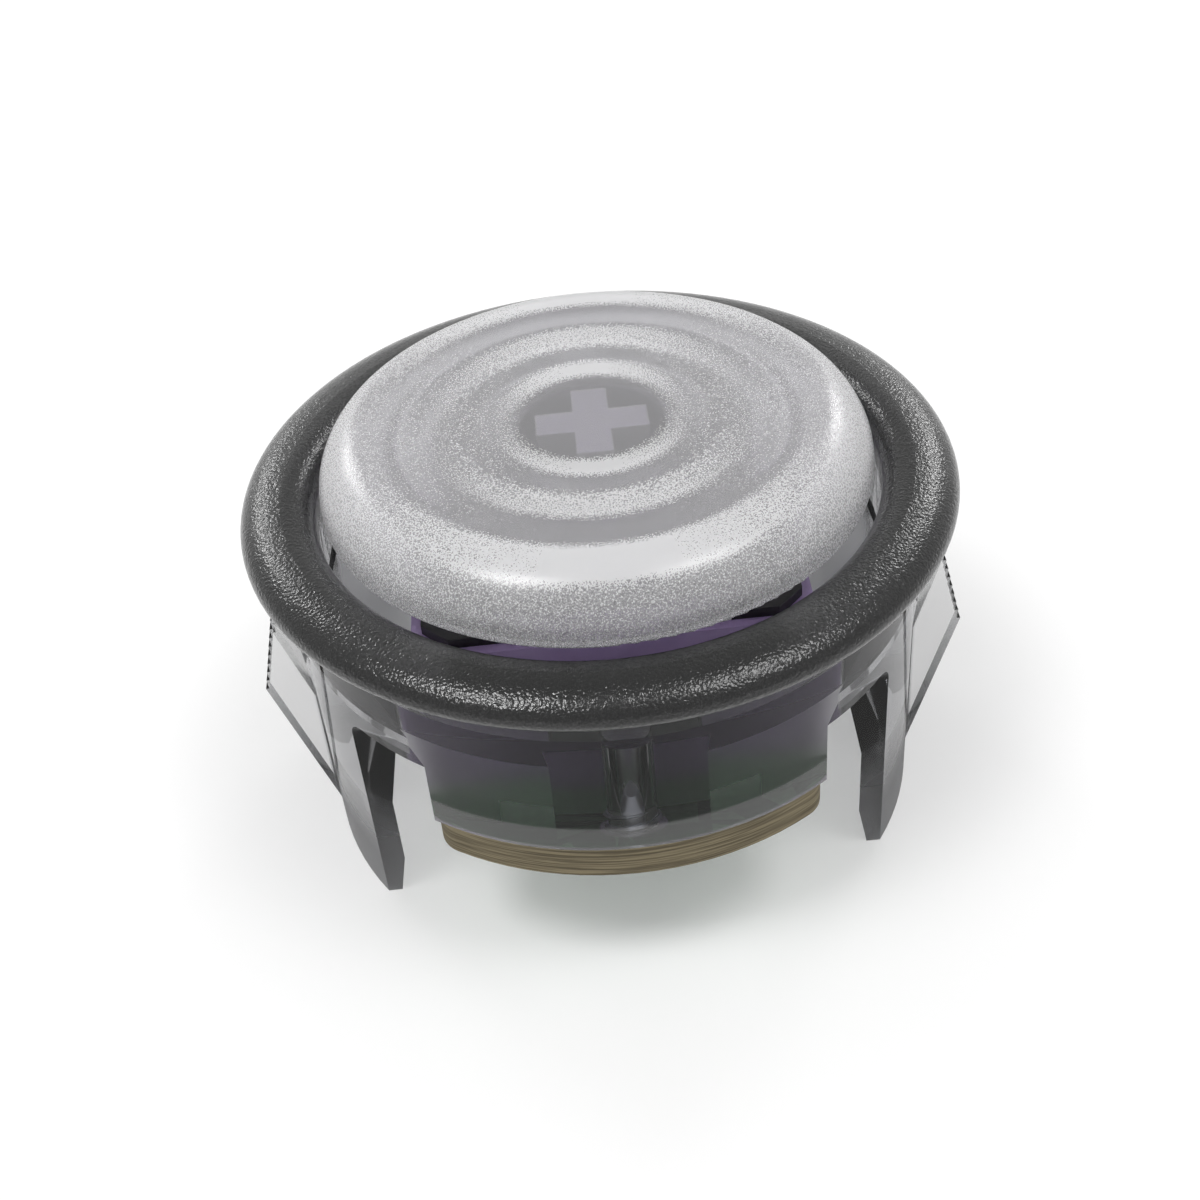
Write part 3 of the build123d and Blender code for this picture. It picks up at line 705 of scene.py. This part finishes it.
# Phosphor bronze strip, stamped: warm red-gold with rolling lines.
CONTACT_BRONZE = WorkedMetal(
    "phosphor_bronze_stamped", ("#B98A55", "#CFA26C"), (0.22, 0.38), 0.08, 0.001, Lay.ALONG_X)

# Silver, welded as small points: white and softly domed.
SILVER_CONTACT = WorkedMetal("silver_welded", ("#DAD8D2", "#ECEAE4"), (0.15, 0.3), 0.1, 0.002, Lay.EVEN)

# Brass, stamped and tin plated: grey-white with lines down the blade.
TINNED_BRASS = WorkedMetal("brass_tin_plated", ("#C2C2BD", "#D6D6D1"), (0.22, 0.42), 0.09, 0.002, Lay.ALONG_Z)

# Solder, melted on: smooth and bright with a dull frosting.
SOLDER = WorkedMetal("solder_reflowed", ("#BDBEC1", "#D2D3D6"), (0.15, 0.36), 0.25, 0.004, Lay.EVEN)

# Steel, zinc plated: cool grey with a fine crystalline bloom.
ZINC_STEEL = WorkedMetal("steel_zinc_plated", ("#A9ACB4", "#C1C4CB"), (0.24, 0.4), 0.12, 0.002, Lay.EVEN)


@dataclass
class Housing:
    """Rim, skirt, tabs, snap arms and wings: one moulding."""

    node: str = "housing"

    def build(self) -> None:
        """Dress the moulding."""
        dress(self.node, SMOKE_POLYCARBONATE.build())


@dataclass
class ButtonCap:
    """The clear cap under the finger."""

    node: str = "button_cap"

    def build(self) -> None:
        """Dress the cap."""
        dress(self.node, CLEAR_POLYCARBONATE.build())


@dataclass
class KeySwitch:
    """The plug-in switch: two shells, the stem, its spring and the contacts."""

    spring_r: float = 2.1
    wire_r: float = 0.13
    spring_low: float = -6.1
    spring_high: float = -1.35
    open_turns: float = 4.6
    closed_turns: float = 0.8
    blend_turns: float = 0.25
    travel: float = 3.0
    steps_per_turn: int = 60
    wire_sides: int = 16

    def build_spring(self) -> bpy.types.Object:
        """Wind the return spring, with its end coils closed.

        The height rises with the turn: by one wire's width a turn in the end coils, by a larger step in the
        open ones, and by a smooth mix of the two over a quarter turn between them. The rises are added up
        and scaled to the spring's length. At each cut end the tube's last ring shrinks to a point, which
        closes it.

        Returns:
            The spring.
        """
        turns = self.open_turns + 2 * self.closed_turns
        angle = np.linspace(0, TURN * turns, int(self.steps_per_turn * turns))
        from_end = np.minimum(angle, angle[-1] - angle) / TURN
        share = np.clip((from_end - self.closed_turns) / self.blend_turns + 0.5, 0, 1)
        share = share * share * (3 - 2 * share)
        low, high = self.spring_low + self.wire_r, self.spring_high - self.wire_r
        closed_rise = 2 * self.wire_r * self.closed_turns * 2
        open_rise = (high - low - closed_rise) / self.open_turns
        rise = 2 * self.wire_r + share * (open_rise - 2 * self.wire_r)
        height = np.concatenate([[0], np.cumsum((rise[1:] + rise[:-1]) / 2)])
        height = low + height * (high - low) / height[-1]
        wire = np.where(from_end > 0, self.wire_r, 0.0)
        ends = np.array([0, len(angle) - 1])
        angle, height, wire = [
            np.insert(values, [1, len(values) - 1], values[ends]) for values in (angle, height, wire)
        ]
        wire[1], wire[-2] = self.wire_r, self.wire_r
        radius = np.full_like(angle, self.spring_r)
        grid = tube_round_helix(angle, radius, height, wire, self.wire_sides)
        spring = make_piece("return_spring_wire", [grid], SPRING_STEEL.build())
        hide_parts("return_spring")
        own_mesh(spring)
        return spring

    def build(self) -> None:
        """Dress the shells, the stem and the contacts, and wind the spring."""
        dress("switch_base", PURPLE_POLYCARBONATE.build())
        dress("switch_cover", BLACK_NYLON.build())
        dress("switch_stem", LAVENDER_ACETAL.build())
        bronze, silver = CONTACT_BRONZE.build(), SILVER_CONTACT.build()
        for name in ("leaf", "blade"):
            dress(f"contact_{name}", bronze)
            dress(f"{name}_contact_point", silver)
        self.build_spring()


@dataclass
class CircuitBoard:
    """The board under the tabs, with its copper, its socket, its terminals and its two screws."""

    underside: float = -8.5
    copper: float = 0.035
    leg_y: float = -2.6
    leg_x: tuple[float, ...] = (-5.1, -2.9, 2.9, 5.1)
    leg_half: tuple[float, float] = (0.4, 0.25)
    fillet_height: float = 0.45
    fillet_r: float = 0.75
    fillet_rows: int = 14
    leg_film: float = 0.06
    leg_power: int = 6
    pad_r: float = 1.0
    pad_lap: float = 0.05
    screw_y: float = 9.7
    screw_pad_r: tuple[float, float] = (1.3, 1.75)
    shank_r: float = 0.78
    thread_depth: float = 0.16
    thread_pitch: float = 0.6
    thread_z: tuple[float, float] = (-8.3, -5.95)
    thread_fade_turns: float = 0.4
    thread_steps_per_turn: int = 40
    thread_sides: int = 6
    tail_left: tuple[float, float] = (-5.75, 2.54)
    tail_right: tuple[float, float] = (4.55, 5.08)
    tail_size: tuple[float, float] = (1.2, 1.05)
    tail_height: float = 0.3
    tail_rows: int = 12
    tail_power: int = 4
    trace_width: float = 0.7
    trace_jog: tuple[float, float] = (0.9, 0.8)
    trace_lead_in: tuple[float, float] = (0.6, 1.2)
    sides: int = 48

    def build_pads(self) -> bpy.types.Object:
        """Lay tinned rings of copper round the legs and the screws' heads: a thin rectangle turned round.

        Returns:
            The pads.
        """
        low, high = self.underside - self.copper, self.underside
        spots = [((x, self.leg_y), self.fillet_r - self.pad_lap, self.pad_r) for x in self.leg_x]
        spots += [((0.0, side * self.screw_y), *self.screw_pad_r) for side in (-1, 1)]
        grids = [
            turned_ring([(inner, low), (outer, low), (outer, high), (inner, high)], spot, self.sides)
            for spot, inner, outer in spots
        ]
        return make_piece("board_pads", grids, SOLDER.build(), rows_close=True)

    def build_traces(self) -> bpy.types.Object:
        """Run the copper traces from the terminals to the socket: a flat rectangle along each route.

        Returns:
            The traces.
        """
        low, high = self.underside - self.copper, self.underside
        (left_x, left_y), (right_x, right_y) = self.tail_left, self.tail_right
        start, (left_jog, right_jog), (left_lead, right_lead) = self.leg_y, self.trace_jog, self.trace_lead_in
        first, second, third, last = self.leg_x
        routes = [
            [
                (first, start), (first - left_jog, start + left_jog),
                (first - left_jog, left_y - left_lead), (left_x, left_y),
            ],
            [
                (last, start), (last + right_jog, start + right_jog),
                (last + right_jog, right_y - right_lead), (right_x, right_y),
            ],
            [(second, start), (first, start)],
            [(third, start), (last, start)],
        ]
        grids = [strip_along(route, self.trace_width, low, high) for route in routes]
        return make_piece("board_traces", grids, MASKED_COPPER.build())

    def build_fillets(self) -> bpy.types.Object:
        """Flow a hollow-sided solder fillet round each terminal leg.

        At share s of its height the outline is a circle that turns into the leg's rounded rectangle: the
        circle counts as (1 - s) squared and the rectangle as the rest, so that the side sweeps in. The
        rectangle is the superellipse of power 6 with the leg's half sizes and a film of solder. Both ends
        close on the axis.

        Returns:
            The fillets.
        """
        share = np.linspace(0, 1, self.fillet_rows)[:, None]
        around = np.linspace(0, TURN, self.sides, endpoint=False)[None, :]
        cos, sin = np.cos(around), np.sin(around)
        half_x, half_y = (half + self.leg_film for half in self.leg_half)
        power = self.leg_power
        box_r = ((np.abs(cos) / half_x) ** power + (np.abs(sin) / half_y) ** power) ** (-1 / power)
        circle = (1 - share) ** 2
        radius = circle * self.fillet_r + (1 - circle) * box_r
        radius = np.concatenate([np.zeros_like(cos), radius, np.zeros_like(cos)])
        drop = np.concatenate([share[:1], share, share[-1:]]) * self.fillet_height
        height = np.broadcast_to(self.underside - drop, radius.shape)
        grids = [np.stack([x + radius * cos, self.leg_y + radius * sin, height], axis=2) for x in self.leg_x]
        fillets = make_piece("solder_fillets", grids, SOLDER.build())
        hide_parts("solder_joints")
        return fillets

    def build_tail_solder(self) -> bpy.types.Object:
        """Melt a flat dome of solder over each of the socket's tails.

        Each dome is a superellipse of power 4 in plan that shrinks as it drops: at share s its size is the
        square root of (1 - s squared), and its drop is s times the dome's height. Both ends close on the
        axis.

        Returns:
            The domes.
        """
        share = np.linspace(0, 1, self.tail_rows)[:, None]
        around = np.linspace(0, TURN, self.sides, endpoint=False)[None, :]
        cos, sin = np.cos(around), np.sin(around)
        half_x, half_y = self.tail_size
        power = self.tail_power
        plan = ((np.abs(cos) / half_x) ** power + (np.abs(sin) / half_y) ** power) ** (-1 / power)
        radius = np.concatenate([np.zeros_like(cos), np.sqrt(1 - share ** 2) * plan])
        drop = np.concatenate([share[:1], share]) * self.tail_height
        height = np.broadcast_to(self.underside - drop, radius.shape)
        grids = [
            np.stack([x + radius * cos, y + radius * sin, height], axis=2)
            for x, y in (self.tail_left, self.tail_right)
        ]
        return make_piece("tail_solder", grids, SOLDER.build())

    def build_threads(self) -> bpy.types.Object:
        """Wind the screws' threads: a narrow ridge along a helix on each shank, fading out at both ends.

        Returns:
            The threads.
        """
        low, high = self.thread_z
        turns = (high - low) / self.thread_pitch
        angle = np.linspace(0, TURN * turns, int(self.thread_steps_per_turn * turns))
        height = low + (high - low) * angle / angle[-1]
        from_end = np.minimum(angle, angle[-1] - angle) / TURN
        ridge = self.thread_depth * np.clip(from_end / self.thread_fade_turns, 0, 1)
        radius = np.full_like(angle, self.shank_r)
        grid = tube_round_helix(angle, radius, height, ridge, self.thread_sides)
        grids = [grid + np.array([0.0, side * self.screw_y, 0.0]) for side in (-1, 1)]
        return make_piece("screw_threads", grids, ZINC_STEEL.build())

    def build(self) -> None:
        """Dress the board and what it carries, and lay the copper and the solder."""
        dress("circuit_board", GREEN_LAMINATE.build())
        dress("socket_body", BLACK_NYLON.build())
        bronze, tin = CONTACT_BRONZE.build(), TINNED_BRASS.build()
        for side in ("left", "right"):
            dress(f"socket_contact_{side}", bronze)
            dress(f"terminal_{side}", tin)
        dress("board_screws", ZINC_STEEL.build())
        self.build_pads()
        self.build_traces()
        self.build_fillets()
        self.build_tail_solder()
        self.build_threads()


@dataclass(frozen=True)
class Lamp:
    """A round soft lamp that looks at the origin."""

    name: str
    place: tuple[float, float, float]
    size: float
    watts: float

    def build(self) -> None:
        """Hang the lamp."""
        data = bpy.data.lights.new(self.name, "AREA")
        data.shape = "DISK"
        data.size = self.size * MM
        data.energy = self.watts
        lamp = bpy.data.objects.new(self.name, data)
        lamp.location = Vector(self.place) * MM
        lamp.rotation_euler = (-lamp.location).to_track_quat("-Z", "Y").to_euler()
        bpy.context.scene.collection.objects.link(lamp)


@dataclass
class Studio:
    """Floor, lamps, sky and camera."""

    floor_z_m: float
    floor_size: float = 900.0
    floor_shade: float = 0.82
    floor_roughness: float = 0.9
    floor_glow: tuple[float, float] = (0.18, 0.52)
    glow_reach: tuple[float, float] = (40.0, 330.0)
    sky_light: float = 0.55
    sensor: float = 36.0
    lens: float = 50.0
    near_clip: float = 1.0
    eye: tuple[float, float, float] = (-0.99, -50.70, 36.72)
    azimuth: float = -0.7708
    elevation: float = 39.793
    roll: float = -5.356
    lamps: tuple[Lamp, ...] = (
        Lamp("key_lamp", (-90.0, -50.0, 200.0), 80.0, 0.18),
        Lamp("fill_lamp", (85.0, -40.0, 190.0), 80.0, 0.11),
        Lamp("back_left_lamp", (-120.0, 170.0, 110.0), 60.0, 0.06),
        Lamp("back_right_lamp", (120.0, 170.0, 110.0), 60.0, 0.06),
    )

    def shown_directly(self, tree: bpy.types.NodeTree) -> bpy.types.NodeSocket:
        """Tell the rays that show a surface, to the camera or through glass, from those that light it.

        Args:
            tree: the node tree to work in.

        Returns:
            A socket that is one for such rays and zero for the rest.
        """
        rays = add_node(tree, "ShaderNodeLightPath")
        shown = add_node(tree, "ShaderNodeMath", {
            0: rays.outputs["Is Camera Ray"], 1: rays.outputs["Is Transmission Ray"]}, operation="MAXIMUM")
        return shown.outputs[0]

    def build_floor(self) -> None:
        """Lay a plain pale floor under the object, which stays white where the lamps' light falls off."""
        half = self.floor_size / 2 * MM
        corners = [(-half, -half), (half, -half), (half, half), (-half, half)]
        mesh = bpy.data.meshes.new("floor")
        mesh.from_pydata([(x, y, self.floor_z_m) for x, y in corners], [], [(0, 1, 2, 3)])
        floor = bpy.data.objects.new("floor", mesh)
        bpy.context.scene.collection.objects.link(floor)
        material, tree, output = blank_material("floor_paper_white")
        place = add_node(tree, "ShaderNodeTexCoord").outputs["Object"]
        away = add_node(tree, "ShaderNodeVectorMath", {0: place}, operation="LENGTH").outputs["Value"]
        level = add_node(tree, "ShaderNodeMapRange", {
            "Value": away,
            "From Min": self.glow_reach[0] * MM, "From Max": self.glow_reach[1] * MM,
            "To Min": self.floor_glow[0], "To Max": self.floor_glow[1],
        }, interpolation_type="SMOOTHSTEP")
        glow = add_node(tree, "ShaderNodeMath", {
            0: self.shown_directly(tree), 1: level.outputs["Result"]}, operation="MULTIPLY")
        paper = add_node(tree, "ShaderNodeBsdfPrincipled", {
            "Base Color": (self.floor_shade, self.floor_shade, self.floor_shade, 1.0),
            "Roughness": self.floor_roughness,
            "Specular IOR Level": 0.0,
            "Emission Color": (1.0, 1.0, 1.0, 1.0),
            "Emission Strength": glow.outputs[0],
        })
        tree.links.new(paper.outputs["BSDF"], output.inputs["Surface"])
        mesh.materials.append(material)
        floor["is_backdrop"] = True

    def build_sky(self) -> None:
        """Surround the scene with a soft white sky."""
        world = bpy.data.worlds.new("studio_sky")
        world.use_nodes = True
        tree = world.node_tree
        tree.nodes.clear()
        output = add_node(tree, "ShaderNodeOutputWorld")
        level = add_node(tree, "ShaderNodeMapRange", {
            "Value": self.shown_directly(tree), "To Min": self.sky_light, "To Max": 1.0})
        sky = add_node(tree, "ShaderNodeBackground", {
            "Color": (1.0, 1.0, 1.0, 1.0), "Strength": level.outputs["Result"]})
        tree.links.new(sky.outputs["Background"], output.inputs["Surface"])
        bpy.context.scene.world = world

    def build_camera(self) -> None:
        """Set the camera at the picture's own viewpoint."""
        azimuth, elevation = math.radians(self.azimuth), math.radians(self.elevation)
        back = Vector((
            math.sin(azimuth) * math.cos(elevation),
            -math.cos(azimuth) * math.cos(elevation),
            math.sin(elevation),
        ))
        data = bpy.data.cameras.new("camera")
        data.sensor_width = self.sensor
        data.lens = self.lens
        data.clip_start = self.near_clip * MM
        camera = bpy.data.objects.new("camera", data)
        turn = (-back).to_track_quat("-Z", "Y").to_matrix().to_4x4()
        turn = turn @ Matrix.Rotation(math.radians(self.roll), 4, "Z")
        camera.matrix_world = Matrix.Translation(Vector(self.eye) * MM) @ turn
        bpy.context.scene.collection.objects.link(camera)
        bpy.context.scene.camera = camera

    def build(self) -> None:
        """Set up the whole studio."""
        self.build_floor()
        self.build_sky()
        for lamp in self.lamps:
            lamp.build()
        self.build_camera()
        bpy.context.scene.view_settings.view_transform = "Standard"


def main() -> None:
    """Dress every sub-assembly, then set up the studio."""
    logging.basicConfig(level=logging.INFO, format="%(message)s")
    solid_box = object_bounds()
    for assembly in (Housing(), ButtonCap(), KeySwitch(), CircuitBoard()):
        assembly.build()
    Studio(floor_z_m=solid_box[0].z).build()


if __name__ == "__main__":
    main()
